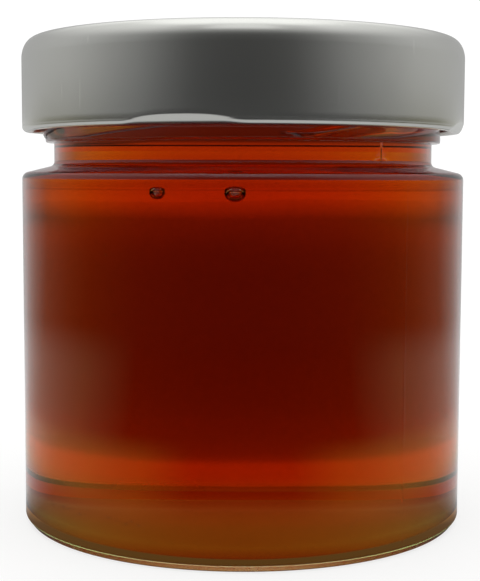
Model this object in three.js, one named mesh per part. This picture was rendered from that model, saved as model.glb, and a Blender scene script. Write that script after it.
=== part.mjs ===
// A squat round glass jar of honey with a deep twist-off metal lid, standing upright.
// Millimetres, +Z up. The origin is the centre of the base, on the surface the jar stands on.
// Angles run round the jar from the front (-Y) towards +X, in degrees.
import * as THREE from "three";

const SEGMENTS = 60; // facets round the jar

// Glass body
const TOTAL_HEIGHT = 77.8; // jar with its lid on
const BODY_RADIUS = 36;
const WALL = 2.3; // glass thickness of the side and the shoulder
const BEARING_RADIUS = 34.9; // outer edge of the flat ring that the jar stands on
const BEARING_WIDTH = 3.7;
const HEEL_NORMAL = 38; // degrees that the bevelled edge between base and side faces down
const HEEL_BEND = 0.5; // rounding between the bevel and the side
const HEEL_FOOT_BEND = 0.5; // rounding between the bevel and the base
const PUNT_HEIGHT = 0.6; // shallow hollow under the base, inside the bearing ring
const FLOOR_HEIGHT = 3; // inside of the base at its edge
const FLOOR_CROWN = 0.5; // rise of the inside of the base towards its middle
const INNER_HEEL_BEND = 2.6;
const SHOULDER_BEND = 1.2; // rounded edge between side and shoulder
const SHOULDER_BEND_HEIGHT = 55.45; // centre of that rounding
const SHOULDER_SLOPE = 14; // degrees that the shoulder falls away from the neck
const INNER_SHOULDER_BEND = 0.9;

// Glass neck and finish: the waist that shows under the lid, and the wall that carries the threads
const NECK_RADIUS = 30.85;
const NECK_FILLET = 0.85; // hollow between shoulder and neck
const FINISH_RADIUS = 32.2;
const FINISH_FOOT = 61.55; // where the finish wall becomes upright
const FINISH_STEP = 0.45; // height of the step from the neck out to the finish wall
const FINISH_EDGE = 0.2; // rounded edges of that step
const RIM_HEIGHT = 76.3;
const RIM_BEND = 1.2;

// Four threads on the finish wall, each a ridge that starts in a low tip and climbs to the right
const THREADS = 4;
const THREAD_START = 10.3; // angle of the first tip
const THREAD_SPAN = 100;
const THREAD_TIP_HEIGHT = 62.2;
const THREAD_FOOT = 61.68; // height of its lower edge before it climbs
const THREAD_TIP_SPAN = 9; // over which the lower edge sinks from the tip
const THREAD_DIP = 0.68; // how much lower that edge lies just behind the tip
const THREAD_DIP_END = 14; // where it starts to rise from the dip
const THREAD_FOOT_START = 24; // where it has come up to the foot
const THREAD_LEVEL_SPAN = 33; // where it starts to climb
const THREAD_CLIMB = 0.05; // millimetres for each degree
const THREAD_WIDTH = 3.6;
const THREAD_DEPTH = 1.5;
const THREAD_OPENING_SPAN = 34; // over which the ridge opens from its tip to its full width
const THREAD_RISING_SPAN = 16; // over which it rises to its full depth
const THREAD_RUN_OUT = 12; // over which the high end fades
const THREAD_FLANK = 0.7; // share of the width that is the sloping lower flank
const THREAD_CREST = 0.8; // share of the width where the crest ends
const THREAD_ROW = 0.7; // spacing of the rows of facets that carry the threads

// Honey
const HONEY_LEVEL = 71;
const HONEY_GAP = 0.3; // between honey and glass

// Lid, pressed from thin tinplate with a rolled lower edge
const LID_RADIUS = 35.92;
const LID_SHEET = 0.3;
const LID_BEND = 2.2; // rounded edge between skirt and top, across
const LID_BEND_HEIGHT = 3.2; // and up
const LID_RING_INNER = 31; // inner edge of the raised ring round the top
const LID_STEP = 1.6; // width of the slope from the ring down to the panel
const LID_PANEL_DROP = 0.8; // depth of the panel below the ring
const LID_FOOT = 63; // lowest point of the rolled edge
const CURL_RADIUS = 0.75;

// Four lugs, where the rolled edge has a slanting facet outside and reaches in to grip under the threads
const LUGS = 4;
const LUG_ANGLE = -14.1;
const LUG_HALF_SPAN = 14;
const LUG_FOOT = 63.2; // lower end of the facet's arched upper edge
const LUG_RISE = 1.3; // height of that arch
const LUG_SLANT = 0.45; // how far the facet leans in for each millimetre down
const LUG_REACH = 0.6; // how much further the inner side of the rolled edge reaches in
const LUG_ROW = 0.25; // spacing of the rows of facets that carry the lugs
const LUG_TOP = LUG_FOOT + LUG_RISE;

const { degToRad, radToDeg, smoothstep, lerp, euclideanModulo } = THREE.MathUtils;

const at = (radius, height) => new THREE.Vector2(radius, height);

// Points of an arc in the plane of radius and height, with angles in degrees from the outward direction.
function arc(centre, bend, from, to, steps, bendHeight = bend) {
  return Array.from({ length: steps + 1 }, (_, i) => {
    const angle = degToRad(lerp(from, to, i / steps));
    return at(centre.x + bend * Math.cos(angle), centre.y + bendHeight * Math.sin(angle));
  });
}

// Evenly spaced points up or down a straight wall, without its ends.
function rows(radius, from, to, spacing) {
  const count = Math.round(Math.abs(to - from) / spacing);
  return Array.from({ length: count - 1 }, (_, i) => at(radius, lerp(from, to, (i + 1) / count)));
}

// Turns a profile, listed with the material on its left, into a solid round the Z axis.
function revolve(profile) {
  return new THREE.LatheGeometry(profile, SEGMENTS).rotateX(Math.PI / 2);
}

// Moves every point of a revolved solid: change takes radius, height and angle, and gives radius and height.
function reshape(geometry, change) {
  const place = geometry.getAttribute("position");
  for (let i = 0; i < place.count; i++) {
    const [x, y, z] = [place.getX(i), place.getY(i), place.getZ(i)];
    const radius = Math.hypot(x, y);
    if (radius === 0) continue;
    const [newRadius, newHeight] = change(radius, z, radToDeg(Math.atan2(x, -y)));
    place.setXYZ(i, (x * newRadius) / radius, (y * newRadius) / radius, newHeight);
  }
  geometry.computeVertexNormals();
  return geometry;
}

// The rounded edge of the shoulder and the hollow at the foot of the neck share one sloping line.
const shoulderNormal = 90 - SHOULDER_SLOPE;
const shoulderCentre = at(BODY_RADIUS - SHOULDER_BEND, SHOULDER_BEND_HEIGHT);
const filletRadius = NECK_RADIUS + NECK_FILLET;
const filletCentre = at(
  filletRadius,
  shoulderCentre.y +
    (SHOULDER_BEND + NECK_FILLET - (filletRadius - shoulderCentre.x) * Math.cos(degToRad(shoulderNormal))) /
      Math.sin(degToRad(shoulderNormal)),
);

// The inside of the jar from the middle of its floor up to a height in the neck, drawn in by a gap.
function insideProfile(gap, top) {
  const wall = BODY_RADIUS - WALL - gap;
  const heelCentre = at(BODY_RADIUS - WALL - INNER_HEEL_BEND, FLOOR_HEIGHT + INNER_HEEL_BEND);
  const bend = INNER_SHOULDER_BEND;
  const slope = degToRad(shoulderNormal);
  const ceiling = NECK_FILLET + WALL + gap; // distance of the sloping ceiling from the fillet's centre
  const bendCentre = at(
    wall - bend,
    filletCentre.y - (ceiling + bend + (wall - bend - filletCentre.x) * Math.cos(slope)) / Math.sin(slope),
  );
  return [
    at(0, FLOOR_HEIGHT + FLOOR_CROWN + gap),
    ...arc(heelCentre, INNER_HEEL_BEND - gap, -90, 0, 4),
    ...arc(bendCentre, bend, 0, shoulderNormal, 3),
    ...arc(filletCentre, ceiling, 180 + shoulderNormal, 180, 4),
    at(filletCentre.x - ceiling, top),
  ];
}

// How far the threads stand out from the finish wall at an angle and a height.
function threadRelief(angle, height) {
  let relief = 0;
  for (let i = 0; i < THREADS; i++) {
    const along = euclideanModulo(angle - THREAD_START - (i * 360) / THREADS, 360);
    if (along > THREAD_SPAN) continue;
    const sunk = smoothstep(along, 0, THREAD_TIP_SPAN);
    const climb = THREAD_CLIMB * Math.max(0, along - THREAD_LEVEL_SPAN);
    const dip = THREAD_DIP * sunk * (1 - smoothstep(along, THREAD_DIP_END, THREAD_FOOT_START));
    const low = lerp(THREAD_TIP_HEIGHT, THREAD_FOOT, sunk) - dip + climb;
    const opening = smoothstep(along, 0, THREAD_OPENING_SPAN);
    const high = lerp(THREAD_TIP_HEIGHT, THREAD_FOOT + climb + THREAD_WIDTH, opening);
    if (height <= low || height >= high) continue;
    const across = (height - low) / (high - low);
    const section = Math.min(1, across / THREAD_FLANK) - smoothstep(across, THREAD_CREST, 1);
    const runOut = smoothstep(THREAD_SPAN - along, 0, THREAD_RUN_OUT);
    const rising = smoothstep(along, 0, THREAD_RISING_SPAN);
    relief = Math.max(relief, THREAD_DEPTH * section * rising * runOut);
  }
  return relief;
}

// The bevelled edge between base and side, with its own edges rounded.
function heelProfile() {
  const lean = degToRad(HEEL_NORMAL);
  const low = arc(at(BEARING_RADIUS, HEEL_FOOT_BEND), HEEL_FOOT_BEND, -90, -HEEL_NORMAL, 2);
  const bevelTop = BODY_RADIUS - HEEL_BEND * (1 - Math.cos(lean));
  const rise = (bevelTop - low.at(-1).x) / Math.tan(lean);
  const centre = at(BODY_RADIUS - HEEL_BEND, low.at(-1).y + rise + HEEL_BEND * Math.sin(lean));
  return [...low, ...arc(centre, HEEL_BEND, -HEEL_NORMAL, 0, 2)];
}

function jarGeometry() {
  const bearingInner = BEARING_RADIUS - BEARING_WIDTH;
  const rimOuter = FINISH_RADIUS - RIM_BEND;
  const bore = filletCentre.x - NECK_FILLET - WALL;
  const threadTop = THREAD_FOOT + THREAD_CLIMB * (THREAD_SPAN - THREAD_LEVEL_SPAN) + THREAD_WIDTH;
  const outside = [
    at(0, PUNT_HEIGHT),
    at(bearingInner * 0.5, PUNT_HEIGHT * 0.75),
    at(bearingInner, 0),
    ...heelProfile(),
    ...arc(shoulderCentre, SHOULDER_BEND, 0, shoulderNormal, 4),
    ...arc(filletCentre, NECK_FILLET, 180 + shoulderNormal, 180, 4),
    ...arc(at(NECK_RADIUS + FINISH_EDGE, FINISH_FOOT - FINISH_STEP), FINISH_EDGE, 180, 110, 2),
    ...arc(at(FINISH_RADIUS - FINISH_EDGE, FINISH_FOOT), FINISH_EDGE, -70, 0, 2),
    ...rows(FINISH_RADIUS, FINISH_FOOT, threadTop, THREAD_ROW),
    at(FINISH_RADIUS, threadTop),
    ...arc(at(rimOuter, RIM_HEIGHT - RIM_BEND), RIM_BEND, 0, 90, 3),
  ];
  const inside = [
    ...arc(at(bore + RIM_BEND, RIM_HEIGHT - RIM_BEND), RIM_BEND, 90, 180, 3),
    ...insideProfile(0, RIM_HEIGHT - RIM_BEND).reverse().slice(1),
  ];
  return reshape(revolve([...outside, ...inside]), (radius, height, angle) => {
    const onFinish = radius > FINISH_RADIUS - 0.01 && radius < FINISH_RADIUS + 0.01 && height > FINISH_FOOT;
    return [onFinish ? radius + threadRelief(angle, height) : radius, height];
  });
}

function honeyGeometry() {
  return revolve([...insideProfile(HONEY_GAP, HONEY_LEVEL), at(0, HONEY_LEVEL)]);
}

// How far into a lug an angle is, from 0 at its ends to 1 in its middle.
function lugShare(angle) {
  const pitch = 360 / LUGS;
  const off = Math.abs(euclideanModulo(angle - LUG_ANGLE + pitch / 2, pitch) - pitch / 2);
  return Math.max(0, 1 - (off / LUG_HALF_SPAN) ** 3);
}

function lidGeometry() {
  const bendCentre = at(LID_RADIUS - LID_BEND, TOTAL_HEIGHT - LID_BEND_HEIGHT);
  const curlCentre = at(LID_RADIUS - CURL_RADIUS, LID_FOOT + CURL_RADIUS);
  const panelRadius = LID_RING_INNER - LID_STEP;
  const panelHeight = TOTAL_HEIGHT - LID_PANEL_DROP;
  const inner = LID_RADIUS - LID_SHEET;
  const inside = [
    at(0, panelHeight - LID_SHEET),
    at(panelRadius, panelHeight - LID_SHEET),
    at(LID_RING_INNER, TOTAL_HEIGHT - LID_SHEET),
    ...arc(bendCentre, LID_BEND - LID_SHEET, 90, 0, 4, LID_BEND_HEIGHT - LID_SHEET),
    at(inner, LUG_TOP),
  ];
  const outside = [
    ...arc(curlCentre, CURL_RADIUS, 90, 360, 9),
    ...rows(LID_RADIUS, curlCentre.y, LUG_TOP, LUG_ROW),
    at(LID_RADIUS, LUG_TOP),
    ...arc(bendCentre, LID_BEND, 0, 90, 5, LID_BEND_HEIGHT),
    at(LID_RING_INNER, TOTAL_HEIGHT),
    at(panelRadius, panelHeight),
    at(0, panelHeight),
  ];
  return reshape(revolve([...inside, ...outside]), (radius, height, angle) => {
    if (height > LUG_TOP) return [radius, height];
    const share = lugShare(angle);
    const facet = LUG_SLANT * Math.max(0, LUG_FOOT + LUG_RISE * share - height) * smoothstep(share, 0, 0.35);
    const reach = smoothstep(share, 0, 1) * (Math.max(0, curlCentre.x - radius) / CURL_RADIUS);
    return [radius - facet - LUG_REACH * reach, height];
  });
}

function piece(name, geometry, look) {
  const mesh = new THREE.Mesh(geometry, new THREE.MeshStandardMaterial(look));
  mesh.name = name;
  return mesh;
}

const honeyJar = new THREE.Group();
honeyJar.add(
  piece("glass_jar", jarGeometry(), {
    color: 0xe6eeea,
    roughness: 0.05,
    metalness: 0,
    transparent: true,
    opacity: 0.3,
  }),
  piece("honey", honeyGeometry(), { color: 0x8c2a04, roughness: 0.1, metalness: 0 }),
  piece("lid", lidGeometry(), { color: 0xa3a49f, roughness: 0.35, metalness: 1 }),
);

export default honeyJar;
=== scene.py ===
import math

import bpy
import numpy as np
from mathutils import Matrix


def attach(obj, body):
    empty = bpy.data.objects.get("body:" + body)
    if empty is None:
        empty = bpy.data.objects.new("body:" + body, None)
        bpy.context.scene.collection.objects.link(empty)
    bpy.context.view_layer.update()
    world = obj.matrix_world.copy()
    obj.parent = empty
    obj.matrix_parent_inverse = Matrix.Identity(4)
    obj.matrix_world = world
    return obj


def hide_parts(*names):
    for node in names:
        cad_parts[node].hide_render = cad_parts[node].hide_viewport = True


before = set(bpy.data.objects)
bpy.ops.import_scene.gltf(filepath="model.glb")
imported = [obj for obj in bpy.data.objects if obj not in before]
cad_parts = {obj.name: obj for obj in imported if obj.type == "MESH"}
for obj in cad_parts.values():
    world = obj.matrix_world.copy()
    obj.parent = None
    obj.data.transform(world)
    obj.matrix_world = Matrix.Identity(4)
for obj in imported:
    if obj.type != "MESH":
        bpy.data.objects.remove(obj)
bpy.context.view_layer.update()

# Glass jar
# A squat jar of clear glass, blown in a mould of two halves: straight side, rounded shoulder, waisted neck,
# and a finish wall with four raised threads. It stands on a knurled ring round a hollow base.
# All sizes are in millimetres, and angles run from the front (-Y) towards +X in degrees.
MM = 0.001
BODY_RADIUS = 36.0
WALL = 2.3
HEEL_NORMAL = 38.0
HEEL_BEND = 0.5
HEEL_FOOT_BEND = 0.5
BEARING_RADIUS = 34.9
BEARING_WIDTH = 3.7
STANDING_RADIUS = 26.0
STANDING_LIFT = 0.18
PUNT_HEIGHT = 0.6
PUNT_END = 0.97
FLOOR_HEIGHT = 3.0
FLOOR_CROWN = 0.5
INNER_HEEL_BEND = 2.6
SHOULDER_BEND = 1.2
SHOULDER_BEND_HEIGHT = 55.45
SHOULDER_NORMAL = 76.0
INNER_SHOULDER_BEND = 0.9
NECK_RADIUS = 30.85
NECK_FILLET = 0.85
FINISH_RADIUS = 32.2
FINISH_FOOT = 61.55
FINISH_STEP = 0.45
FINISH_EDGE = 0.2
RIM_HEIGHT = 76.3
RIM_BEND = 1.2
HONEY_LEVEL = 71.0

THREADS = 4
THREAD_START = 10.3
THREAD_SPAN = 100.0
THREAD_TIP_HEIGHT = 62.2
THREAD_FOOT = 61.68
THREAD_TIP_SPAN = 9.0
THREAD_DIP = 0.68
THREAD_DIP_SPANS = (14.0, 24.0)
THREAD_LEVEL_SPAN = 33.0
THREAD_CLIMB = 0.05
THREAD_WIDTH = 3.6
THREAD_DEPTH = 1.5
THREAD_OPENING_SPAN = 34.0
THREAD_RISING_SPAN = 16.0
THREAD_RUN_OUT = 12.0
THREAD_TOP = 69.0
THREAD_FLANK = 0.7
THREAD_STRAIGHT = 0.6
THREAD_CREST = 0.8

SEAM_ANGLE = 41.3
SEAM_HALF_WIDTH = 0.13
SEAM_RELIEF = 0.14
SEAM_BODY_SHARE = 0.2
SEAM_TOP_GAP = 0.6
SEAM_FOOT_HEIGHT = 58.7
SEAM_FOOT_HALF_HEIGHT = 0.18
SEAM_FOOT_SPANS = (1.2, 1.7)
SEAM_FOOT_SHARE = 1.5
KNURL_BARS = 90
KNURL_DEPTH = 0.06
KNURL_EASE = 0.8
RIPPLE = 0.004
RIPPLE_DRAWN_IN = 2.2
RIPPLE_FULL_HEIGHT = 6
RIPPLE_FADE_HEIGHTS = (50, 55)
RIPPLE_WAVES = (
    # waves round the jar, radians a millimetre of height, start, share
    (3, 0.11, 0.4, 1.0),
    (5, -0.17, 2.1, 0.8),
    (8, 0.29, 4.0, 0.6),
    (13, -0.41, 1.2, 0.4),
    (21, 0.6, 5.1, 0.25),
)
SHOULDER_LINE = 54.3
SHOULDER_LINE_DEPTH = 0.01
SHOULDER_LINE_HALF_WIDTH = 0.3
SHOULDER_LINE_REACH = 0.75
CLOSE = 0.12
NEARLY = 0.01

FACETS = 270
SEAM_STEPS = np.linspace(-0.8, 0.8, 17)
seam_angles = [SEAM_ANGLE + half + step for half in (0, 180) for step in SEAM_STEPS]
ANGLES = np.unique(np.concatenate([np.arange(FACETS) * 360 / FACETS, np.array(seam_angles) % 360]))


def smooth_step(value, start, end):
    share = np.clip((value - start) / (end - start), 0.0, 1.0)
    return share * share * (3 - 2 * share)


def arc(centre, bend, start, end, steps):
    """Points of an arc in the plane of radius and height."""
    turns = np.radians(np.linspace(start, end, steps + 1))
    return [(centre[0] + bend * math.cos(t), centre[1] + bend * math.sin(t)) for t in turns]


def line(start, end, steps):
    """Points between two points of a profile, without the two themselves."""
    shares = [i / steps for i in range(1, steps)]
    return [tuple(a + (b - a) * share for a, b in zip(start, end)) for share in shares]


def turn(name, profile, slots, shape=None):
    """Turns a profile that starts and ends on the axis, with its material on the left, into a mesh object.
    slots gives the material slot of each step of the profile, and shape moves the points of the rings."""
    rings = np.array(profile[1:-1])
    angle = np.broadcast_to(ANGLES, (len(rings), len(ANGLES)))
    radius = np.repeat(rings[:, :1], len(ANGLES), axis=1)
    height = np.repeat(rings[:, 1:], len(ANGLES), axis=1)
    if shape is not None:
        radius, height = shape(radius, height, angle)
    around = np.radians(angle)
    points = np.stack([radius * np.sin(around), -radius * np.cos(around), height], axis=-1).reshape(-1, 3)
    first, last = (0, 0, profile[0][1]), (0, 0, profile[-1][1])
    points = np.concatenate([[first], points, [last]]) * MM
    count = len(ANGLES)
    step = np.arange(count)
    beside = (step + 1) % count
    end = len(points) - 1
    faces = [(0, b + 1, a + 1) for a, b in zip(step.tolist(), beside.tolist())]
    for ring in range(len(rings) - 1):
        low, high = 1 + ring * count, 1 + (ring + 1) * count
        faces += np.stack([low + step, low + beside, high + beside, high + step], axis=1).tolist()
    top = 1 + (len(rings) - 1) * count
    faces += [(top + a, top + b, end) for a, b in zip(step.tolist(), beside.tolist())]
    mesh = bpy.data.meshes.new(name)
    mesh.from_pydata(points.tolist(), [], faces)
    mesh.polygons.foreach_set("material_index", np.repeat(np.array(slots, dtype=np.int32), count))
    mesh.shade_smooth()
    mesh.update()
    piece = bpy.data.objects.new(name, mesh)
    bpy.context.collection.objects.link(piece)
    return piece


def heel_profile():
    """The bevelled edge between base and side, with its own edges rounded."""
    lean = math.radians(HEEL_NORMAL)
    foot = (BEARING_RADIUS, HEEL_FOOT_BEND)
    outer = BODY_RADIUS - HEEL_BEND * (1 - math.cos(lean))
    across = outer - BEARING_RADIUS - HEEL_FOOT_BEND * math.cos(lean)
    height = HEEL_FOOT_BEND * (1 - math.sin(lean)) + across / math.tan(lean) + HEEL_BEND * math.sin(lean)
    low = arc(foot, HEEL_FOOT_BEND, -90, -HEEL_NORMAL, 8)
    high = arc((BODY_RADIUS - HEEL_BEND, height), HEEL_BEND, -HEEL_NORMAL, 0, 8)
    return low + line(low[-1], high[0], 5) + high


HEEL = heel_profile()
HEEL_HEIGHT = HEEL[-1][1]


def fillet_centre():
    """The hollow between shoulder and neck rests on the same sloping line as the shoulder's rounded edge."""
    slope = math.radians(SHOULDER_NORMAL)
    radius = NECK_RADIUS + NECK_FILLET
    across = (radius - BODY_RADIUS + SHOULDER_BEND) * math.cos(slope)
    return radius, SHOULDER_BEND_HEIGHT + (SHOULDER_BEND + NECK_FILLET - across) / math.sin(slope)


FILLET = fillet_centre()
BORE = FILLET[0] - NECK_FILLET - WALL


def inside_profile(gap):
    """The inside of the jar from the middle of its floor up to the bore of the neck, drawn in by a gap."""
    wall = BODY_RADIUS - WALL - gap
    heel = (BODY_RADIUS - WALL - INNER_HEEL_BEND, FLOOR_HEIGHT + INNER_HEEL_BEND)
    slope = math.radians(SHOULDER_NORMAL)
    ceiling = NECK_FILLET + WALL + gap
    bend = INNER_SHOULDER_BEND
    drop = (ceiling + bend + (wall - bend - FILLET[0]) * math.cos(slope)) / math.sin(slope)
    corner = (wall - bend, FILLET[1] - drop)
    middle = (0.0, FLOOR_HEIGHT + FLOOR_CROWN + gap)
    edge = (heel[0], FLOOR_HEIGHT + gap)
    floor = [middle]
    for share in (0.2, 0.4, 0.6, 0.8):
        crown = FLOOR_CROWN * (1 - share * share)
        floor.append((edge[0] * share, edge[1] + crown))
    return (
        floor
        + arc(heel, INNER_HEEL_BEND - gap, -90, 0, 12)
        + line((wall, heel[1]), (wall, corner[1]), 12)
        + [(wall, corner[1] - CLOSE)]
        + arc(corner, bend, 0, SHOULDER_NORMAL, 8)
        + arc(FILLET, ceiling, 180 + SHOULDER_NORMAL, 180, 12)
        + [(FILLET[0] - ceiling, FILLET[1] + CLOSE)]
        + line((FILLET[0] - ceiling, FILLET[1]), (FILLET[0] - ceiling, HONEY_LEVEL), 6)
    )


def outside_profile():
    """The outside of the jar from the middle of its base up to the top of the rim."""
    ring = BEARING_RADIUS - BEARING_WIDTH
    punt = [(ring * share, PUNT_HEIGHT * (1 - share ** 2)) for share in np.linspace(0, PUNT_END, 24)]
    shoulder = (BODY_RADIUS - SHOULDER_BEND, SHOULDER_BEND_HEIGHT)
    foot = (NECK_RADIUS + FINISH_EDGE, FINISH_FOOT - FINISH_STEP)
    edge = (FINISH_RADIUS - FINISH_EDGE, FINISH_FOOT)
    line_foot = (BODY_RADIUS, SHOULDER_LINE - SHOULDER_LINE_REACH)
    line_top = (BODY_RADIUS, SHOULDER_LINE + SHOULDER_LINE_REACH)
    brow = arc(shoulder, SHOULDER_BEND, 0, SHOULDER_NORMAL, 14)
    waist = arc(FILLET, NECK_FILLET, 180 + SHOULDER_NORMAL, 180, 16)
    return (
        punt
        + [(ring, 0.0)]
        + line((ring, 0.0), (BEARING_RADIUS, 0.0), 10)
        + HEEL
        + [(BODY_RADIUS, HEEL_HEIGHT + CLOSE)]
        + line((BODY_RADIUS, HEEL_HEIGHT), line_foot, 24)
        + line(line_foot, line_top, 13)
        + [(BODY_RADIUS, SHOULDER_BEND_HEIGHT - CLOSE)]
        + brow
        + line(brow[-1], waist[0], 4)
        + waist
        + [(NECK_RADIUS, FILLET[1] + CLOSE)]
        + line((NECK_RADIUS, FILLET[1]), (NECK_RADIUS, foot[1]), 4)
        + [(NECK_RADIUS, foot[1] - CLOSE)]
        + arc(foot, FINISH_EDGE, 180, 110, 10)
        + arc(edge, FINISH_EDGE, -70, 0, 12)
        + line((FINISH_RADIUS, FINISH_FOOT), (FINISH_RADIUS, THREAD_TOP), 80)
        + [(FINISH_RADIUS, THREAD_TOP)]
        + arc((FINISH_RADIUS - RIM_BEND, RIM_HEIGHT - RIM_BEND), RIM_BEND, 0, 90, 7)
    )


def thread_relief(height, angle):
    """How far the threads stand out from the finish wall."""
    relief = np.zeros_like(height)
    for number in range(THREADS):
        along = (angle - THREAD_START - number * 360 / THREADS) % 360
        climb = THREAD_CLIMB * np.maximum(0, along - THREAD_LEVEL_SPAN)
        sunk = smooth_step(along, 0, THREAD_TIP_SPAN)
        dip = THREAD_DIP * sunk * (1 - smooth_step(along, *THREAD_DIP_SPANS))
        low = THREAD_TIP_HEIGHT + (THREAD_FOOT - THREAD_TIP_HEIGHT) * sunk - dip + climb
        opening = smooth_step(along, 0, THREAD_OPENING_SPAN)
        high = THREAD_TIP_HEIGHT + (THREAD_FOOT + climb + THREAD_WIDTH - THREAD_TIP_HEIGHT) * opening
        across = np.clip((height - low) / np.maximum(high - low, NEARLY), 0, 1)
        flank = np.clip(across / THREAD_FLANK, 0, 1)
        section = THREAD_STRAIGHT * flank + (1 - THREAD_STRAIGHT) * smooth_step(flank, 0, 1)
        section = section - smooth_step(across, THREAD_CREST, 1)
        run_out = smooth_step(THREAD_SPAN - along, 0, THREAD_RUN_OUT)
        rising = smooth_step(along, 0, THREAD_RISING_SPAN)
        relief = np.maximum(relief, THREAD_DEPTH * section * rising * run_out)
    return relief


def ripple(height, angle):
    """The faint unevenness of blown glass."""
    total = 0
    for around, up, start, share in RIPPLE_WAVES:
        total = total + share * np.sin(around * np.radians(angle) + up * height + start)
    return RIPPLE * (total - RIPPLE_DRAWN_IN)


def glass_shape(radius, height, angle):
    """The relief of the outside: threads, seam, unevenness, the line under the shoulder and the knurl."""
    outer = np.zeros_like(radius, dtype=bool)
    outer[:OUTSIDE_RINGS] = True
    on_wall = outer & (np.abs(radius - FINISH_RADIUS) < NEARLY)
    on_finish = on_wall & (height > FINISH_FOOT) & (height < THREAD_TOP + NEARLY)
    on_side = outer & (height > HEEL_HEIGHT) & (height < FINISH_FOOT - SEAM_TOP_GAP)
    relief = np.where(on_finish, thread_relief(height, angle), 0)
    off_seam = np.abs((angle - SEAM_ANGLE + 90) % 180 - 90)
    seam = np.exp(-((np.radians(off_seam) * radius / SEAM_HALF_WIDTH) ** 2))
    seam_foot = np.exp(-(((height - SEAM_FOOT_HEIGHT) / SEAM_FOOT_HALF_HEIGHT) ** 2))
    seam_foot = seam_foot * (1 - smooth_step(off_seam, *SEAM_FOOT_SPANS))
    on_neck = smooth_step(height, SHOULDER_BEND_HEIGHT, FILLET[1])
    seam_relief = SEAM_RELIEF * (SEAM_BODY_SHARE + (1 - SEAM_BODY_SHARE) * on_neck)
    seam_relief = seam_relief * np.maximum(seam, SEAM_FOOT_SHARE * seam_foot)
    relief = relief + np.where(on_side, seam_relief, 0)
    fade = smooth_step(height, *RIPPLE_FADE_HEIGHTS)
    even = smooth_step(height, HEEL_HEIGHT, RIPPLE_FULL_HEIGHT) * (1 - fade)
    relief = relief + np.where(on_side, ripple(height, angle) * even, 0)
    shoulder_line = np.exp(-(((height - SHOULDER_LINE) / SHOULDER_LINE_HALF_WIDTH) ** 2))
    relief = relief - np.where(on_side, SHOULDER_LINE_DEPTH * shoulder_line, 0)
    ring = smooth_step(radius, BEARING_RADIUS - BEARING_WIDTH, BEARING_RADIUS - BEARING_WIDTH + KNURL_EASE)
    ring = ring * (1 - smooth_step(radius, BEARING_RADIUS - KNURL_EASE, BEARING_RADIUS))
    groove = 0.5 - 0.5 * np.cos(np.radians(angle) * KNURL_BARS)
    lift = np.where(outer & (height < NEARLY), KNURL_DEPTH * ring * groove, 0)
    return radius + relief, height + lift


outside = outside_profile()
OUTSIDE_RINGS = len(outside) - 1
rim_inside = arc((BORE + RIM_BEND, RIM_HEIGHT - RIM_BEND), RIM_BEND, 90, 180, 7)
dry_wall = line((BORE, RIM_HEIGHT - RIM_BEND), (BORE, HONEY_LEVEL), 4) + [(BORE, HONEY_LEVEL)]
wet_wall = inside_profile(0.0)[::-1]
jar_profile = outside + rim_inside + dry_wall + wet_wall
dry_steps = len(outside) + len(rim_inside) + len(dry_wall) - 1
ring_start = next(i for i, (radius, _) in enumerate(outside) if radius >= STANDING_RADIUS)
on_heel = [radius > BEARING_RADIUS and height > STANDING_LIFT for radius, height in outside]
foot_start = on_heel.index(True)
foot_end = next(i for i, (_, height) in enumerate(outside) if height > HEEL_HEIGHT)
CLEAR_SLOT, WETTED_SLOT, FOOT_SLOT, PUNT_SLOT = range(4)
jar_slots = [CLEAR_SLOT] * dry_steps + [WETTED_SLOT] * len(wet_wall)
jar_slots[:ring_start] = [PUNT_SLOT] * ring_start
jar_slots[ring_start:foot_start] = [WETTED_SLOT] * (foot_start - ring_start)
jar_slots[foot_start:foot_end] = [FOOT_SLOT] * (foot_end - foot_start)
glass_jar = turn("clear_glass_jar", jar_profile, jar_slots, glass_shape)
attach(glass_jar, "root")
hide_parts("glass_jar")


def new_material(name):
    material = bpy.data.materials.new(name)
    material.use_nodes = True
    return material, material.node_tree.nodes, material.node_tree.links


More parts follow.
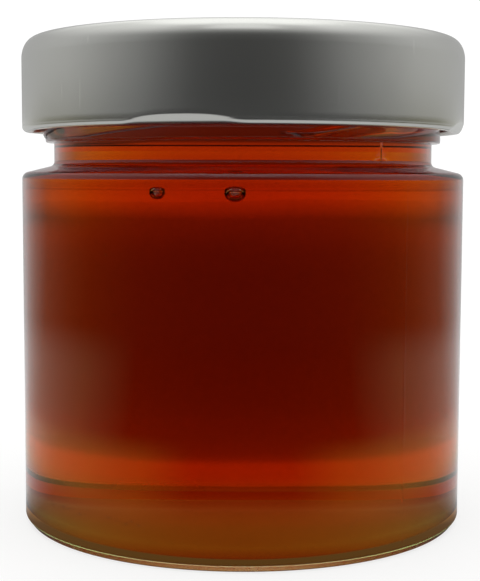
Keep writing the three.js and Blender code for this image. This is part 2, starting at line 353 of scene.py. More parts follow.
def handling_marks():
    """Node group for the traces of handling: soft smudges and fine short scratches, as two masks."""
    group = bpy.data.node_groups.new("handling_marks", "ShaderNodeTree")
    group.interface.new_socket("Smudge Size", in_out="INPUT", socket_type="NodeSocketFloat")
    group.interface.new_socket("Scratch Size", in_out="INPUT", socket_type="NodeSocketFloat")
    group.interface.new_socket("Smudges", in_out="OUTPUT", socket_type="NodeSocketFloat")
    group.interface.new_socket("Scratches", in_out="OUTPUT", socket_type="NodeSocketFloat")
    nodes, links = group.nodes, group.links
    taken = nodes.new("NodeGroupInput")
    given = nodes.new("NodeGroupOutput")
    place = nodes.new("ShaderNodeTexCoord")
    smudge = nodes.new("ShaderNodeTexNoise")
    smudge.inputs["Detail"].default_value = 4.0
    smudge.inputs["Roughness"].default_value = 0.6
    smudge.inputs["Distortion"].default_value = 0.8
    links.new(place.outputs["Object"], smudge.inputs["Vector"])
    links.new(taken.outputs["Smudge Size"], smudge.inputs["Scale"])
    soft = nodes.new("ShaderNodeMapRange")
    soft.interpolation_type = "SMOOTHSTEP"
    soft.inputs["From Min"].default_value = 0.48
    soft.inputs["From Max"].default_value = 0.72
    links.new(smudge.outputs["Fac"], soft.inputs["Value"])
    links.new(soft.outputs["Result"], given.inputs["Smudges"])
    stretch = nodes.new("ShaderNodeMapping")
    stretch.inputs["Rotation"].default_value = (0.5, 0.35, 0.2)
    stretch.inputs["Scale"].default_value = (1.0, 1.0, 0.06)
    scratch = nodes.new("ShaderNodeTexNoise")
    scratch.inputs["Detail"].default_value = 2.0
    links.new(place.outputs["Object"], stretch.inputs["Vector"])
    links.new(stretch.outputs["Vector"], scratch.inputs["Vector"])
    links.new(taken.outputs["Scratch Size"], scratch.inputs["Scale"])
    fine = nodes.new("ShaderNodeMapRange")
    fine.inputs["From Min"].default_value = 0.7
    fine.inputs["From Max"].default_value = 0.78
    links.new(scratch.outputs["Fac"], fine.inputs["Value"])
    links.new(fine.outputs["Result"], given.inputs["Scratches"])
    return group


MARKS = handling_marks()


def place_marks(nodes, smudge_size, scratch_size):
    marks = nodes.new("ShaderNodeGroup")
    marks.node_tree = MARKS
    marks.inputs["Smudge Size"].default_value = smudge_size
    marks.inputs["Scratch Size"].default_value = scratch_size
    return marks


def spread(nodes, links, mask, low, high):
    """A number that runs from low to high with a mask."""
    span = nodes.new("ShaderNodeMapRange")
    span.inputs["To Min"].default_value = low
    span.inputs["To Max"].default_value = high
    links.new(mask, span.inputs["Value"])
    return span.outputs["Result"]


def glass_material(name, colour, bends, rough):
    material, nodes, links = new_material(name)
    glass = nodes["Principled BSDF"]
    glass.inputs["Base Color"].default_value = (*colour, 1)
    glass.inputs["Transmission Weight"].default_value = 1.0
    glass.inputs["IOR"].default_value = bends
    if rough is None:
        glass.inputs["Roughness"].default_value = 0.0
        return material
    marks = place_marks(nodes, smudge_size=60.0, scratch_size=900.0)
    links.new(spread(nodes, links, marks.outputs["Smudges"], *rough), glass.inputs["Roughness"])
    return material


CLEAR = (0.985, 0.995, 0.985)
# The foot glass's amber colour is painted shade: the clear heel is tinted to stand in for the honey-coloured
# light it shows. The stippling itself is only the roughness given with it.
FOOT_PAINTED_AMBER = (0.8, 0.68, 0.4)
for name, colour, bends, rough in (
    ("clear_glass", CLEAR, 1.5, (0.0, 0.035)),
    ("glass_without_air_gap", CLEAR, 1.0, None),
    ("stippled_foot_glass_painted_amber", FOOT_PAINTED_AMBER, 1.5, (0.25, 0.32)),
    ("base_glass_over_moisture", CLEAR, 1.13, None),
):
    glass_jar.data.materials.append(glass_material(name, colour, bends, rough))

# Honey
# Clear dark amber honey, poured warm, that fills the jar up into the neck and wets the glass all round.
# Two large air bubbles are caught under the shoulder, and small ones hang through the rest.
HONEY_INTO_WALL = 0.05
HONEY_ABSORBS = (17.4, 68.0, 130.0)
HONEY_IOR = 1.49
MENISCUS = 0.8
LARGE_BUBBLES = (
    # angle, top, half width, height, radius from the axis
    (-21.0, 54.5, 1.15, 1.8, 32.45),
    (-1.8, 54.6, 1.5, 2.2, 32.1),
)
BUBBLE_FLAT = 0.38
BUBBLE_FULLNESS = 0.8
BUBBLE_SEED = 7
SMALL_BUBBLES = (
    # number, angles, heights of the top, half widths, radii from the axis
    (46, (0, 360), (12, 54), (0.06, 0.16), (30.5, 33.3)),
    (34, (-58, -22), (5.5, 6.4), (0.05, 0.13), (33.1, 33.45)),
    (7, (24, 52), (5.5, 6.4), (0.05, 0.13), (33.1, 33.45)),
)


def bubble(points, faces, angle, top, half_width, tall, radius, flat, around=40, rings=20):
    """Adds a hollow in the honey with its flat side up; its faces look into the hollow."""
    turned = math.radians(angle)
    centre = (radius * math.sin(turned), -radius * math.cos(turned), top - tall * flat)
    start = len(points)
    for ring in range(1, rings):
        fall = math.pi * ring / rings
        reach = tall * (flat if fall < math.pi / 2 else 1 - flat)
        wide = half_width * math.sin(fall) ** BUBBLE_FULLNESS
        for step in range(around):
            spin = 2 * math.pi * step / around
            points.append((
                (centre[0] + wide * math.cos(spin)) * MM,
                (centre[1] + wide * math.sin(spin)) * MM,
                (centre[2] + reach * math.cos(fall)) * MM,
            ))
    points.append((centre[0] * MM, centre[1] * MM, top * MM))
    points.append((centre[0] * MM, centre[1] * MM, (top - tall) * MM))
    high, low = len(points) - 2, len(points) - 1
    final = start + (rings - 2) * around
    for step in range(around):
        beside = (step + 1) % around
        faces.append((high, start + beside, start + step))
        faces.append((low, final + step, final + beside))
        for ring in range(rings - 2):
            upper, lower = start + ring * around, start + (ring + 1) * around
            faces.append((upper + step, upper + beside, lower + beside, lower + step))


inner = inside_profile(-HONEY_INTO_WALL)
honey_bore = BORE + HONEY_INTO_WALL
surface = [(honey_bore, HONEY_LEVEL)]
for share in (0.99, 0.97, 0.94, 0.9, 0.84, 0.7, 0.4):
    surface.append((honey_bore * share, HONEY_LEVEL - MENISCUS * smooth_step(share, 1.0, 0.86)))
surface.append((0.0, HONEY_LEVEL - MENISCUS))
honey_profile = inner + surface
honey = turn("dark_honey", honey_profile, [0] * (len(honey_profile) - 1))
wet_faces = (len(inner) - 1) * len(ANGLES)
free_surface = honey.data.attributes.new("free_surface", "FLOAT", "FACE")
free_surface.data.foreach_set("value", np.arange(len(honey.data.polygons)) >= wet_faces)
hollow_points, hollow_faces = [], []
for angle, top, half_width, tall, radius in LARGE_BUBBLES:
    bubble(hollow_points, hollow_faces, angle, top, half_width, tall, radius, BUBBLE_FLAT)
chance = np.random.default_rng(BUBBLE_SEED)
for number, angles, tops, sizes, radii in SMALL_BUBBLES:
    for _ in range(number):
        size = chance.uniform(*sizes)
        bubble(
            hollow_points,
            hollow_faces,
            angle=chance.uniform(*angles),
            top=chance.uniform(*tops),
            half_width=size,
            tall=2 * size,
            radius=chance.uniform(*radii),
            flat=0.5,
            around=10,
            rings=6,
        )
hollows = bpy.data.meshes.new("honey_bubbles")
hollows.from_pydata(hollow_points, [], hollow_faces)
hollows.shade_smooth()
hollows.attributes.new("free_surface", "FLOAT", "FACE").data.foreach_set("value", np.ones(len(hollow_faces)))
bubbles = bpy.data.objects.new("honey_bubbles", hollows)
bpy.context.collection.objects.link(bubbles)
with bpy.context.temp_override(active_object=honey, selected_editable_objects=[honey, bubbles]):
    bpy.ops.object.join()
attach(honey, "root")
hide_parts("honey")

material, nodes, links = new_material("dark_amber_honey")
syrup = nodes["Principled BSDF"]
syrup.inputs["Transmission Weight"].default_value = 1.0
syrup.inputs["Roughness"].default_value = 0.0
free = nodes.new("ShaderNodeAttribute")
free.attribute_name = "free_surface"
links.new(spread(nodes, links, free.outputs["Fac"], 1.0, HONEY_IOR), syrup.inputs["IOR"])
cloud = nodes.new("ShaderNodeTexNoise")
cloud.inputs["Scale"].default_value = 45.0
cloud.inputs["Detail"].default_value = 3.0
cloud.inputs["Distortion"].default_value = 1.5
place = nodes.new("ShaderNodeTexCoord")
links.new(place.outputs["Object"], cloud.inputs["Vector"])
tone = nodes.new("ShaderNodeValToRGB")
tone.color_ramp.elements[0].position = 0.3
tone.color_ramp.elements[0].color = (0.985, 0.97, 0.94, 1)
tone.color_ramp.elements[1].position = 0.7
tone.color_ramp.elements[1].color = (1.0, 1.0, 0.99, 1)
links.new(cloud.outputs["Fac"], tone.inputs["Fac"])
links.new(tone.outputs["Color"], syrup.inputs["Base Color"])
depth = nodes.new("ShaderNodeVolumeAbsorption")
strongest = max(HONEY_ABSORBS)
depth.inputs["Color"].default_value = tuple(1 - part / strongest for part in HONEY_ABSORBS) + (1,)
depth.inputs["Density"].default_value = strongest
links.new(depth.outputs["Volume"], nodes["Material Output"].inputs["Volume"])
honey.data.materials.append(material)

# Lid
# A deep twist-off lid pressed from thin tinplate with a satin silver lacquer. Its lower edge is rolled up,
# and is drawn in at four lugs that grip under the threads. A raised ring runs round the sunken top panel.
TOTAL_HEIGHT = 77.8
LID_RADIUS = 35.92
LID_SHEET = 0.3
LID_BEND = 2.2
LID_BEND_HEIGHT = 3.2
LID_RING_INNER = 31.0
LID_STEP = 1.6
LID_PANEL_DROP = 0.8
LID_FOOT = 63.0
CURL_RADIUS = 0.75
LUGS = 4
LUG_ANGLE = -14.1
LUG_HALF_SPAN = 14.0
LUG_FOOT = 63.2
LUG_RISE = 1.3
LUG_SLANT = 0.45
LUG_REACH = 0.6
LUG_END_SHARE = 0.35
LUG_TOP = LUG_FOOT + LUG_RISE
LUG_TOP_GAP = 0.5
LUG_EDGE_ROWS = (0.1, 0.22)
SKIRT_SAG = 0.028
SKIRT_SAG_RISE = 0.9
SKIRT_SAG_FOOT = LID_FOOT + CURL_RADIUS + 0.25
SKIRT_SAG_TOP = 66.0
PANEL_ROWS = (10.0, 20.0)
LACQUER = (0.60, 0.605, 0.575)
SCRATCHED_LACQUER = (0.70, 0.70, 0.67)
LACQUER_ROUGHNESS = (0.22, 0.27)


def lug_shape(radius, height, angle):
    """Each lug is a flat slanting facet with a sharp arched upper edge, and the roll behind it reaches in
    further. The skirt draws in a little above the roll."""
    pitch = 360 / LUGS
    off = np.abs((angle - LUG_ANGLE + pitch / 2) % pitch - pitch / 2) / LUG_HALF_SPAN
    share = np.clip(1 - off ** 3, 0, 1)
    arch = LUG_FOOT + LUG_RISE * share
    facet = LUG_SLANT * np.clip(arch - height, 0, None) * smooth_step(share, 0.0, LUG_END_SHARE)
    edge = np.maximum(SKIRT_SAG_FOOT, arch)
    outer = radius > LID_RADIUS - CURL_RADIUS
    sag = SKIRT_SAG * np.clip(edge + SKIRT_SAG_RISE - height, 0, SKIRT_SAG_RISE) ** 2
    facet = facet + np.where(outer, sag, 0)
    low = height < LUG_TOP + LUG_TOP_GAP
    reach = np.where(low, np.clip(LID_RADIUS - CURL_RADIUS - radius, 0, None) / CURL_RADIUS, 0)
    return radius - facet - LUG_REACH * smooth_step(share, 0, 1) * reach, height


def panel_step(drop):
    """The eased slope from the sunken panel up to the raised ring, lowered by the sheet's thickness."""
    step = []
    for share in np.linspace(0, 1, 9):
        rise = LID_PANEL_DROP * (1 - smooth_step(share, 0, 1))
        step.append((LID_RING_INNER - LID_STEP * (1 - share), TOTAL_HEIGHT - rise - drop))
    return step


bend_centre = (LID_RADIUS - LID_BEND, TOTAL_HEIGHT - LID_BEND_HEIGHT)
curl_centre = (LID_RADIUS - CURL_RADIUS, LID_FOOT + CURL_RADIUS)


def lid_bend(inset, start, end):
    """The rounded edge between skirt and top, taller than it is wide."""
    turns = np.radians(np.linspace(start, end, 19))
    wide, tall = LID_BEND - inset, LID_BEND_HEIGHT - inset
    return [(bend_centre[0] + wide * math.cos(t), bend_centre[1] + tall * math.sin(t)) for t in turns]


panel = TOTAL_HEIGHT - LID_PANEL_DROP
lid_inner = LID_RADIUS - LID_SHEET
lug_edge = [(LID_RADIUS, LUG_TOP + gap) for gap in LUG_EDGE_ROWS]
lid_profile = (
    [(radius, panel - LID_SHEET) for radius in (0.0, *PANEL_ROWS)]
    + panel_step(LID_SHEET)
    + lid_bend(LID_SHEET, 90, 0)
    + line((lid_inner, bend_centre[1]), (lid_inner, LUG_TOP), 4)
    + line((lid_inner, LUG_TOP), (lid_inner, LID_FOOT + 2 * CURL_RADIUS), 6)
    + arc(curl_centre, CURL_RADIUS, 90, 360, 26)
    + line((LID_RADIUS, curl_centre[1]), lug_edge[0], 12)
    + lug_edge
    + line(lug_edge[-1], (LID_RADIUS, SKIRT_SAG_TOP), 12)
    + line((LID_RADIUS, SKIRT_SAG_TOP), (LID_RADIUS, bend_centre[1]), 8)
    + [(LID_RADIUS, bend_centre[1] - CLOSE)]
    + lid_bend(0.0, 0, 90)
    + panel_step(0.0)[::-1]
    + [(radius, panel) for radius in (*PANEL_ROWS[::-1], 0.0)]
)
lid = turn("twist_off_lid", lid_profile, [0] * (len(lid_profile) - 1), lug_shape)
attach(lid, "root")
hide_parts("lid")

material, nodes, links = new_material("satin_silver_lacquer")
satin = nodes["Principled BSDF"]
satin.inputs["Metallic"].default_value = 1.0
marks = place_marks(nodes, smudge_size=45.0, scratch_size=1400.0)
grain = nodes.new("ShaderNodeTexNoise")
grain.inputs["Scale"].default_value = 2600.0
grain.inputs["Detail"].default_value = 2.0
place = nodes.new("ShaderNodeTexCoord")
links.new(place.outputs["Object"], grain.inputs["Vector"])
tone = nodes.new("ShaderNodeMix")
tone.data_type = "RGBA"
tone.inputs["A"].default_value = (*LACQUER, 1)
tone.inputs["B"].default_value = (*SCRATCHED_LACQUER, 1)
links.new(marks.outputs["Scratches"], tone.inputs["Factor"])
links.new(tone.outputs["Result"], satin.inputs["Base Color"])
links.new(spread(nodes, links, marks.outputs["Smudges"], *LACQUER_ROUGHNESS), satin.inputs["Roughness"])
bump = nodes.new("ShaderNodeBump")
bump.inputs["Strength"].default_value = 0.08
bump.inputs["Distance"].default_value = 0.00002
links.new(grain.outputs["Fac"], bump.inputs["Height"])
links.new(bump.outputs["Normal"], satin.inputs["Normal"])
lid.data.materials.append(material)

# Studio
# A plain pale floor under an even white surround. Gloss sees cards that are dim in front of the jar and pale
# at its sides and above it. Glass and honey see a glowing floor with painted light and shade: it dims away
# from the jar, with painted shadow under the jar, painted amber shade beside it and a pale horizon.
# Sizes here are in metres.
FLOOR_REACH = 3.0
GLOSS_ROOM = 0.8
CLEAR_ROOM = 3.1


def stage_mesh(name, profile, arc_of=(0, 360), steps=96):
    """A surface turned from a profile of radius and height in metres, all round or over an arc in degrees."""
    points, faces = [], []
    spins = np.radians(np.linspace(*arc_of, steps + 1))
    for radius, height in profile:
        points += [(radius * math.sin(spin), -radius * math.cos(spin), height) for spin in spins]
    for ring in range(len(profile) - 1):
        low, high = ring * (steps + 1), (ring + 1) * (steps + 1)
        faces += [(low + step, low + step + 1, high + step + 1, high + step) for step in range(steps)]
    mesh = bpy.data.meshes.new(name)
    mesh.from_pydata(points, [], faces)
    card = bpy.data.objects.new(name, mesh)
    bpy.context.collection.objects.link(card)
    return card


def dome(radius):
    turns = np.radians(np.linspace(-0.1, 90, 25))
    return [(radius * math.cos(t), radius * math.sin(t)) for t in turns]


def seen_only_by(card, kind):
    for other in ("camera", "diffuse", "glossy", "transmission", "volume_scatter", "shadow"):
        setattr(card, "visible_" + other, other == kind)


def ramp(nodes, links, number, steps):
    """A grey or a colour that follows a number through steps of position and strength."""
    shade = nodes.new("ShaderNodeValToRGB")
    points = shade.color_ramp.elements
    while len(points) < len(steps):
        points.new(0.5)
    for point, (position, strength) in zip(points, steps):
        colour = strength if isinstance(strength, tuple) else (strength, strength, strength)
        point.position = position
        point.color = (*colour, 1)
    links.new(number, shade.inputs["Fac"])
    return shade.outputs["Color"]


def glow(name, build):
    """A material that only glows, with a strength that build makes."""
    material, nodes, links = new_material(name)
    nodes.remove(nodes["Principled BSDF"])
    light = nodes.new("ShaderNodeEmission")
    links.new(build(nodes, links), light.inputs["Color"])
    links.new(light.outputs["Emission"], nodes["Material Output"].inputs["Surface"])
    return material


def place_in_room():
    """Node group for where a point of the studio lies: its distance from the axis, its height, 0 towards the
    front to 1 towards the back, and 0 at the sides to 1 towards the front or back."""
    group = bpy.data.node_groups.new("place_in_room", "ShaderNodeTree")
    for name in ("Away", "Height", "Back", "Ends"):
        group.interface.new_socket(name, in_out="OUTPUT", socket_type="NodeSocketFloat")
    nodes, links = group.nodes, group.links
    given = nodes.new("NodeGroupOutput")
    place = nodes.new("ShaderNodeTexCoord")
    flat = nodes.new("ShaderNodeVectorMath")
    flat.operation = "MULTIPLY"
    flat.inputs[1].default_value = (1, 1, 0)
    links.new(place.outputs["Object"], flat.inputs[0])
    away = nodes.new("ShaderNodeVectorMath")
    away.operation = "LENGTH"
    links.new(flat.outputs["Vector"], away.inputs[0])
    links.new(away.outputs["Value"], given.inputs["Away"])
    way = nodes.new("ShaderNodeVectorMath")
    way.operation = "NORMALIZE"
    links.new(flat.outputs["Vector"], way.inputs[0])
    parts = nodes.new("ShaderNodeSeparateXYZ")
    links.new(way.outputs["Vector"], parts.inputs["Vector"])
    share = nodes.new("ShaderNodeMapRange")
    share.inputs["From Min"].default_value = -1.0
    links.new(parts.outputs["Y"], share.inputs["Value"])
    links.new(share.outputs["Result"], given.inputs["Back"])
    upright = nodes.new("ShaderNodeSeparateXYZ")
    links.new(place.outputs["Object"], upright.inputs["Vector"])
    links.new(upright.outputs["Z"], given.inputs["Height"])
    ends = nodes.new("ShaderNodeMath")
    ends.operation = "ABSOLUTE"
    links.new(parts.outputs["Y"], ends.inputs[0])
    links.new(ends.outputs["Value"], given.inputs["Ends"])
    return group


ROOM = place_in_room()


def room_place(nodes):
    room = nodes.new("ShaderNodeGroup")
    room.node_tree = ROOM
    return room.outputs


def eased(nodes, links, number, start, end):
    """0 below start, 1 above end."""
    ease = nodes.new("ShaderNodeMapRange")
    ease.interpolation_type = "SMOOTHSTEP"
    ease.inputs["From Min"].default_value = start
    ease.inputs["From Max"].default_value = end
    links.new(number, ease.inputs["Value"])
    return ease.outputs["Result"]


def blend(nodes, links, share, low, high):
    mix = nodes.new("ShaderNodeMix")
    mix.data_type = "RGBA"
    links.new(share, mix.inputs["Factor"])
    for value, socket in ((low, mix.inputs["A"]), (high, mix.inputs["B"])):
        if isinstance(value, float):
            socket.default_value = (value, value, value, 1)
        else:
            links.new(value, socket)
    return mix.outputs["Result"]


def product(nodes, links, one, other):
    mix = nodes.new("ShaderNodeMix")
    mix.data_type = "RGBA"
    mix.blend_type = "MULTIPLY"
    mix.inputs["Factor"].default_value = 1.0
    links.new(one, mix.inputs["A"])
    links.new(other, mix.inputs["B"])
    return mix.outputs["Result"]


DIM_FLOOR = (
    (0, 0.006),
    (0.18, 0.006),
    (0.41, (0.05, 0.045, 0.012)),
    (0.54, (0.12, 0.11, 0.05)),
    (0.71, (0.22, 0.21, 0.14)),
    (0.82, (0.5, 0.49, 0.44)),
    (0.92, 0.76),
    (0.98, 0.6),
)
NEAR_FLOOR = (
    (0, 0.0),
    (0.18, 0.0),
    (0.41, (0.5, 0.42, 0.2)),
    (0.54, (0.55, 0.5, 0.32)),
    (0.71, (0.6, 0.58, 0.47)),
    (0.9, 0.88),
    (0.98, 0.76),
)
NEAR_FLOOR_ENDS = (0.2, 0.34)
HONEY_GLEAM = (
    (0, 0.0),
    (0.03, 0.0),
    (0.12, (0.8, 0.4, 0.04)),
    (0.3, (1.2, 0.75, 0.15)),
    (0.5, (1.0, 0.75, 0.3)),
    (0.7, (0.95, 0.85, 0.65)),
    (0.9, 0.9),
)
HONEY_GLEAM_ENDS = (0.1, 0.13)
FOOT_GLEAM = ((0, 0.02), (0.3, 0.08), (0.43, 0.12), (0.54, 0.45), (0.63, 0.7), (0.9, 0.9))
FOOT_GLEAM_ENDS = (0.055, 0.075)


def gloss_floor_glow(nodes, links):
    room = room_place(nodes)
    far = ramp(nodes, links, room["Back"], DIM_FLOOR)
    near = ramp(nodes, links, room["Back"], NEAR_FLOOR)
    gleam = ramp(nodes, links, room["Back"], HONEY_GLEAM)
    foot = ramp(nodes, links, room["Back"], FOOT_GLEAM)
    outer = blend(nodes, links, eased(nodes, links, room["Away"], *NEAR_FLOOR_ENDS), near, far)
    middle = blend(nodes, links, eased(nodes, links, room["Away"], *HONEY_GLEAM_ENDS), gleam, outer)
    return blend(nodes, links, eased(nodes, links, room["Away"], *FOOT_GLEAM_ENDS), foot, middle)


GLOSS_WALL = (
    (0, 0.08),
    (0.04, 0.105),
    (0.19, 0.34),
    (0.4, 0.54),
    (0.55, 0.62),
    (0.7, 0.61),
    (0.85, 0.55),
    (0.95, 0.5),
)
GLOSS_WALL_STARTS = (0.075, 0.11)
GLOSS_HIGH = ((0, 0.55), (0.06, 0.7), (0.2, 1.0), (0.8, 1.0), (0.93, 1.45), (1.0, 1.25))
GLOSS_HIGH_STARTS = (0.36, 0.7)
GLOSS_ZENITH = 1.55
GLOSS_ZENITH_STARTS = (0.69, 0.77)


def gloss_room_glow(nodes, links):
    room = room_place(nodes)
    low = ramp(nodes, links, room["Back"], DIM_FLOOR)
    wall = ramp(nodes, links, room["Back"], GLOSS_WALL)
    high = ramp(nodes, links, room["Back"], GLOSS_HIGH)
    side = blend(nodes, links, eased(nodes, links, room["Height"], *GLOSS_WALL_STARTS), low, wall)
    raised = blend(nodes, links, eased(nodes, links, room["Height"], *GLOSS_HIGH_STARTS), side, high)
    zenith = eased(nodes, links, room["Height"], *GLOSS_ZENITH_STARTS)
    return blend(nodes, links, zenith, raised, GLOSS_ZENITH)


# Painted amber shade: right beside the jar the floor seen through the glass is dark amber, standing in for
# the jar's shadow lit only through the honey.
AMBER_SHADE_BY_JAR = (0.39, 0.17, 0.035)
# Painted shadow: the floor seen through the base is dimmed under the jar, most towards the front.
SHADE_UNDER_JAR = ((0, 0.25), (0.4, 0.3), (0.6, 1.0))
SHADE_UNDER_JAR_ENDS = (0.036, 0.038)
SEEN_FLOOR = (
    # a set distance divided by the distance from the axis: 0 far away, more towards the jar
    (0, 1.15),
    (0.006, 1.15),
    (0.0073, 0.85),
    (0.0093, 0.6),
    (0.0115, 0.43),
    (0.022, 0.31),
    (0.033, 0.28),
    (0.08, 0.28),
    (0.137, 0.32),
    (0.195, 0.38),
    (0.235, 0.43),
    (0.268, 0.48),
    (0.29, 0.6),
    (0.315, 0.95),
    (0.333, 1.0),
    (0.39, 0.95),
    (0.44, 0.75),
    (0.475, 0.4),
    (0.49, AMBER_SHADE_BY_JAR),
)
SEEN_FLOOR_DISTANCES = (0.0168, 0.0192)
SEEN_SIDES = ((0, (1.75, 2.6, 1.9)), (0.5, (1.7, 2.5, 1.85)), (0.8, (1.42, 1.7, 1.5)), (1.0, 1.0))
SEEN_SIDES_END = (0.9, 1.6)
ROOM_SIDES = (
    (0, (0.58, 1.0, 0.6)),
    (0.5, (0.6, 1.0, 0.62)),
    (0.68, (0.72, 1.2, 0.75)),
    (0.76, (0.92, 1.5, 0.95)),
    (0.86, (1.0, 1.55, 1.0)),
    (0.94, (1.0, 1.3, 1.0)),
    (1.0, 1.0),
)


def seen_floor_glow(nodes, links):
    room = room_place(nodes)
    uneven = nodes.new("ShaderNodeTexNoise")
    uneven.inputs["Scale"].default_value = 160.0
    uneven.inputs["Detail"].default_value = 3.0
    near = nodes.new("ShaderNodeMath")
    near.operation = "DIVIDE"
    links.new(spread(nodes, links, uneven.outputs["Fac"], *SEEN_FLOOR_DISTANCES), near.inputs[0])
    links.new(room["Away"], near.inputs[1])
    outward = ramp(nodes, links, near.outputs["Value"], SEEN_FLOOR)
    under = ramp(nodes, links, room["Back"], SHADE_UNDER_JAR)
    beside = ramp(nodes, links, room["Ends"], SEEN_SIDES)
    beyond = ramp(nodes, links, room["Ends"], ROOM_SIDES)
    sides = blend(nodes, links, eased(nodes, links, room["Away"], *SHADE_UNDER_JAR_ENDS), under, beside)
    sides = blend(nodes, links, eased(nodes, links, room["Away"], *SEEN_SIDES_END), sides, beyond)
    return product(nodes, links, outward, sides)


SEEN_ROOM = (
    # the share of the room's height: 0 at the horizon, 1 overhead
    (0, 1.12),
    (0.005, 1.12),
    (0.013, 0.92),
    (0.036, 0.92),
    (0.041, (0.97, 1.3, 0.92)),
    (0.07, (0.97, 1.3, 0.92)),
    (0.1, 0.7),
    (0.14, 0.45),
    (0.165, (0.36, 0.22, 0.2)),
    (0.2, (0.37, 0.24, 0.2)),
    (0.257, (0.4, 0.42, 0.3)),
    (0.29, (0.38, 0.52, 0.3)),
    (0.36, (0.38, 0.66, 0.3)),
    (0.44, 0.3),
)
RAISED_SIDES = ((0, 0.56), (0.6, 0.6), (0.8, 0.75), (0.92, 0.92), (1.0, 1.0))
RAISED_SIDES_START = (0.13, 0.19)


def seen_room_glow(nodes, links):
    room = room_place(nodes)
    lift = nodes.new("ShaderNodeMapRange")
    lift.inputs["From Max"].default_value = CLEAR_ROOM
    links.new(room["Height"], lift.inputs["Value"])
    upward = ramp(nodes, links, lift.outputs["Result"], SEEN_ROOM)
    low = ramp(nodes, links, room["Ends"], ROOM_SIDES)
    high = ramp(nodes, links, room["Ends"], RAISED_SIDES)
    raised = eased(nodes, links, lift.outputs["Result"], *RAISED_SIDES_START)
    return product(nodes, links, upward, blend(nodes, links, raised, low, high))


LAMP_FADE = ((0, 1.1), (0.02, 1.1), (0.04, 0.8))
LAMP_AWAY = 0.5
LAMP_RISES = (48, 56, 64, 72)
LAMP_SPAN = (-24, 24)


def lamp_glow(nodes, links):
    return ramp(nodes, links, room_place(nodes)["Back"], LAMP_FADE)


LID_GLEAM_RADIUS = 0.03377
LID_GLEAM_HEIGHTS = (0.0604, 0.067)
LID_GLEAM_FADE = (0.0612, 0.0624)
LID_GLEAM_LOW = 0.9
LID_GLEAM_HIGH = 0.22


def lid_gleam_glow(nodes, links):
    share = eased(nodes, links, room_place(nodes)["Height"], *LID_GLEAM_FADE)
    return blend(nodes, links, share, LID_GLEAM_LOW, LID_GLEAM_HIGH)


BOUNCE_RADII = (0.075, 0.0365)
BOUNCE_HEIGHT = 0.058
BOUNCE_FADE = (0.0365, 0.039)
BOUNCE_INNER = 0.12
BOUNCE_OUTER = 0.66


def bounce_glow(nodes, links):
    share = eased(nodes, links, room_place(nodes)["Away"], *BOUNCE_FADE)
    return blend(nodes, links, share, BOUNCE_INNER, BOUNCE_OUTER)


GLOSS_FLOOR_HEIGHT = -0.0003
SEEN_FLOOR_HEIGHT = -0.0002

floor = stage_mesh("pale_floor", ((0.0, 0.0), (FLOOR_REACH, 0.0)))
material, nodes, links = new_material("pale_floor")
paper = nodes["Principled BSDF"]
paper.inputs["Roughness"].default_value = 0.9
paper.inputs["Specular IOR Level"].default_value = 0.0
paper.inputs["Emission Color"].default_value = (1, 1, 0.995, 1)
paper.inputs["Emission Strength"].default_value = 0.72
fibre = nodes.new("ShaderNodeTexNoise")
fibre.inputs["Scale"].default_value = 30.0
tone = nodes.new("ShaderNodeValToRGB")
tone.color_ramp.elements[0].color = (0.3, 0.3, 0.298, 1)
tone.color_ramp.elements[1].color = (0.32, 0.32, 0.318, 1)
links.new(fibre.outputs["Fac"], tone.inputs["Fac"])
links.new(tone.outputs["Color"], paper.inputs["Base Color"])
floor.data.materials.append(material)
floor.visible_glossy = False
floor.visible_transmission = False

gloss_room = stage_mesh("gloss_room", dome(GLOSS_ROOM))
gloss_room.data.materials.append(glow("gloss_room", gloss_room_glow))
gloss_floor = stage_mesh("gloss_floor", ((0.0, GLOSS_FLOOR_HEIGHT), (GLOSS_ROOM, GLOSS_FLOOR_HEIGHT)))
gloss_floor.data.materials.append(glow("gloss_floor", gloss_floor_glow))
bounce = stage_mesh("bounce_under_lid", [(radius, BOUNCE_HEIGHT) for radius in BOUNCE_RADII])
material = glow("bounce_under_lid", bounce_glow)
nodes, links = material.node_tree.nodes, material.node_tree.links
side = nodes.new("ShaderNodeNewGeometry")
clear = nodes.new("ShaderNodeBsdfTransparent")
one_sided = nodes.new("ShaderNodeMixShader")
links.new(side.outputs["Backfacing"], one_sided.inputs["Fac"])
links.new(nodes["Emission"].outputs["Emission"], one_sided.inputs[1])
links.new(clear.outputs["BSDF"], one_sided.inputs[2])
links.new(one_sided.outputs["Shader"], nodes["Material Output"].inputs["Surface"])
bounce.data.materials.append(material)
lamp_profile = [(LAMP_AWAY * math.cos(t), LAMP_AWAY * math.sin(t)) for t in np.radians(LAMP_RISES)]
lamp = stage_mesh("soft_lamp", lamp_profile, arc_of=LAMP_SPAN)
lamp.data.materials.append(glow("soft_lamp", lamp_glow))
for card in (gloss_room, gloss_floor, bounce, lamp):
    seen_only_by(card, "glossy")

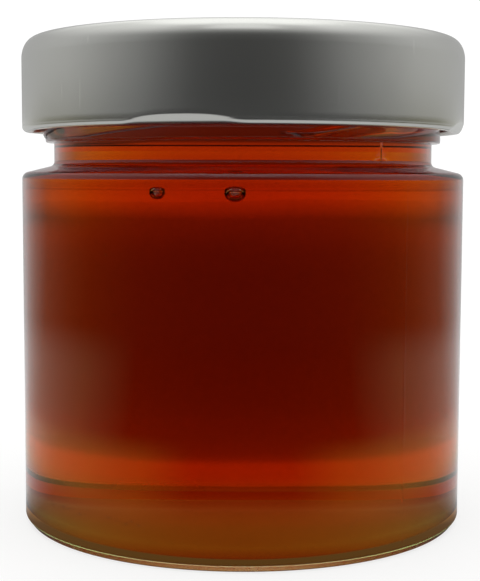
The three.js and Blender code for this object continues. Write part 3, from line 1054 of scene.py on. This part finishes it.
seen_floor_profile = ((0.0, SEEN_FLOOR_HEIGHT), (CLEAR_ROOM, SEEN_FLOOR_HEIGHT))
seen_floor = stage_mesh("floor_seen_through", seen_floor_profile)
seen_floor.data.materials.append(glow("floor_seen_through", seen_floor_glow))
seen_room = stage_mesh("room_seen_through", dome(CLEAR_ROOM))
seen_room.data.materials.append(glow("room_seen_through", seen_room_glow))
lid_gleam = stage_mesh("gleam_under_lid", [(LID_GLEAM_RADIUS, height) for height in LID_GLEAM_HEIGHTS])
lid_gleam.data.materials.append(glow("gleam_under_lid", lid_gleam_glow))
for card in (seen_floor, seen_room, lid_gleam):
    seen_only_by(card, "transmission")

surround = bpy.data.worlds.new("white_surround")
surround.use_nodes = True
surround.node_tree.nodes["Background"].inputs["Color"].default_value = (1, 1, 1, 1)
surround.node_tree.nodes["Background"].inputs["Strength"].default_value = 1.05
bpy.context.scene.world = surround
bpy.context.scene.view_settings.view_transform = "Standard"
bpy.context.scene.cycles.max_bounces = 32
bpy.context.scene.cycles.transmission_bounces = 32
bpy.context.scene.cycles.glossy_bounces = 16

# Camera
# It stands a little below the lid, close in front of the jar, and looks slightly down.
FOCAL_PIXELS = 1271.6
IMAGE_HEIGHT = 581
SENSOR_WIDTH = 36.0
CAMERA_DISTANCE = 211.4
CAMERA_HEIGHT = 55.82
LOOK_DOWN = 5.08
LOOK_ASIDE = 0.104
LEAN = 0.2
camera = bpy.data.objects.new("camera", bpy.data.cameras.new("camera"))
camera.data.sensor_width = SENSOR_WIDTH
camera.data.lens = FOCAL_PIXELS * SENSOR_WIDTH / IMAGE_HEIGHT
camera.data.clip_start = 0.01
camera.matrix_world = (
    Matrix.Translation((0, -CAMERA_DISTANCE * MM, CAMERA_HEIGHT * MM))
    @ Matrix.Rotation(math.radians(LOOK_ASIDE), 4, "Z")
    @ Matrix.Rotation(math.radians(90 - LOOK_DOWN), 4, "X")
    @ Matrix.Rotation(math.radians(LEAN), 4, "Z")
)
bpy.context.collection.objects.link(camera)
bpy.context.scene.camera = camera

bpy.context.view_layer.update()
